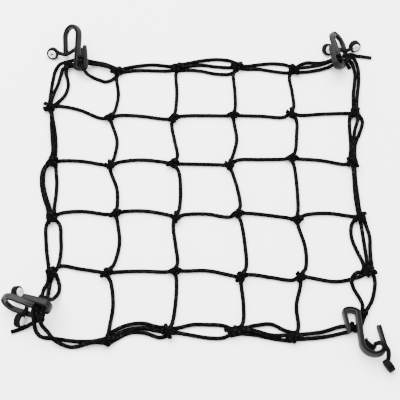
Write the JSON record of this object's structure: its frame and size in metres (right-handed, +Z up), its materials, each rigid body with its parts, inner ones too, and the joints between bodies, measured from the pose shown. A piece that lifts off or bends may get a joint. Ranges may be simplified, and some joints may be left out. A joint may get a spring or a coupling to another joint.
{
  "type": "cargo net",
  "caption": "Knotted elastic cord cargo net with an open plastic hook and a strap keeper at each corner, lying flat.",
  "frame": {"origin": "under the middle of the part's bounding box, on the surface that it lies on", "axes": "+X to the right and +Y away from the near side of the net, +Z up"},
  "size_m": [0.4594, 0.4784, 0.0473],
  "materials": {
    "cord": "braided, matt",
    "hook": "satin",
    "keeper": "matt",
    "eyelet": "glossy"
  },
  "bodies": {
    "root": {"net": "cord", "hook_far_left": "hook", "hook_far_right": "hook", "hook_near_left": "hook", "hook_near_right": "hook", "keeper_far_left": "keeper", "keeper_far_right": "keeper", "keeper_near_left": "keeper", "keeper_near_right": "keeper", "eyelet_far_left_1": "eyelet", "eyelet_far_left_2": "eyelet", "eyelet_far_right_1": "eyelet", "eyelet_far_right_2": "eyelet", "eyelet_near_left_1": "eyelet", "eyelet_near_left_2": "eyelet", "eyelet_near_right_1": "eyelet", "eyelet_near_right_2": "eyelet"}
  },
  "joints": []
}
